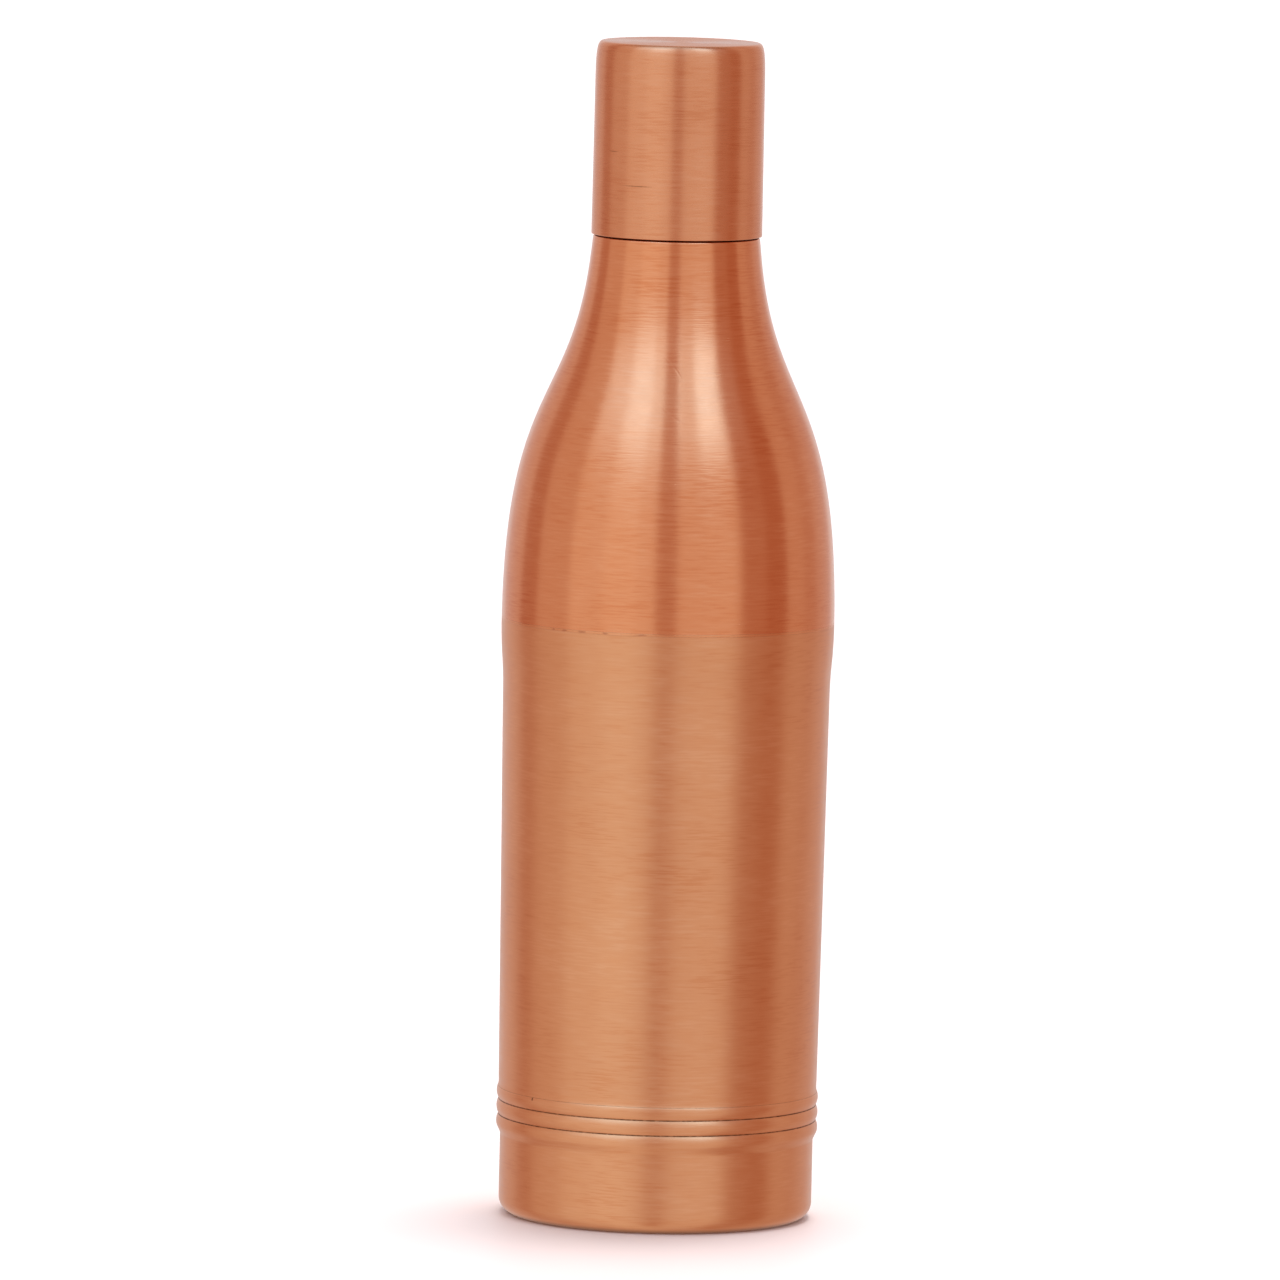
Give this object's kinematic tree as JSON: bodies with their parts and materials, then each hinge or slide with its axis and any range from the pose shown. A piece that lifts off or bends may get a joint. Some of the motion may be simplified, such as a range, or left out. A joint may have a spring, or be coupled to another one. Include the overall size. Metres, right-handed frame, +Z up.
{
  "type": "copper water bottle",
  "caption": "Slim brushed copper water bottle with rolled beads at the foot, a sloping shoulder and a tall screw cap.",
  "frame": {"origin": "centre of the foot, on the surface that the bottle stands on", "axes": "+Z up along the bottle's axis, from the foot to the cap; X and Y are square to it and the bottle looks the same from every side"},
  "size_m": [0.0804, 0.0804, 0.285],
  "materials": {
    "body_copper": "brushed copper sheet, fine lines round the body, lacquered",
    "shoulder_copper": "brushed copper sheet, slightly redder and glossier than the lower body",
    "cap_copper": "brushed copper sheet, lines round the cap",
    "inner_copper": "plain bright copper, turned or spun, unpolished",
    "filler": "brazing metal, dull and slightly grainy",
    "washer": "pale silicone, satin"
  },
  "bodies": {
    "bottle": {"lower_shell": "body_copper", "upper_shell": "shoulder_copper", "body_seam_braze": "filler", "base_disc": "inner_copper", "base_braze": "filler", "neck_ring": "inner_copper", "neck_braze": "filler"},
    "gasket": {"cap_gasket": "washer"},
    "cap": {"cap_shell": "cap_copper", "cap_sleeve": "inner_copper", "sleeve_braze": "filler"}
  },
  "joints": [
    {"name": "cap_lift", "type": "slide", "parent": "bottle", "child": "gasket", "axis": [0, 0, 1], "range_m": [0, 0.0251]},
    {"name": "cap_turn", "type": "hinge", "parent": "gasket", "child": "cap", "pos_m": [0, 0, 0.2384], "axis": [0, 0, 1], "range_deg": [0, 1800]}
  ],
  "couplings": [
    {"joint": "cap_lift", "follows": "cap_turn", "m_per_rad": 0.00079577}
  ]
}
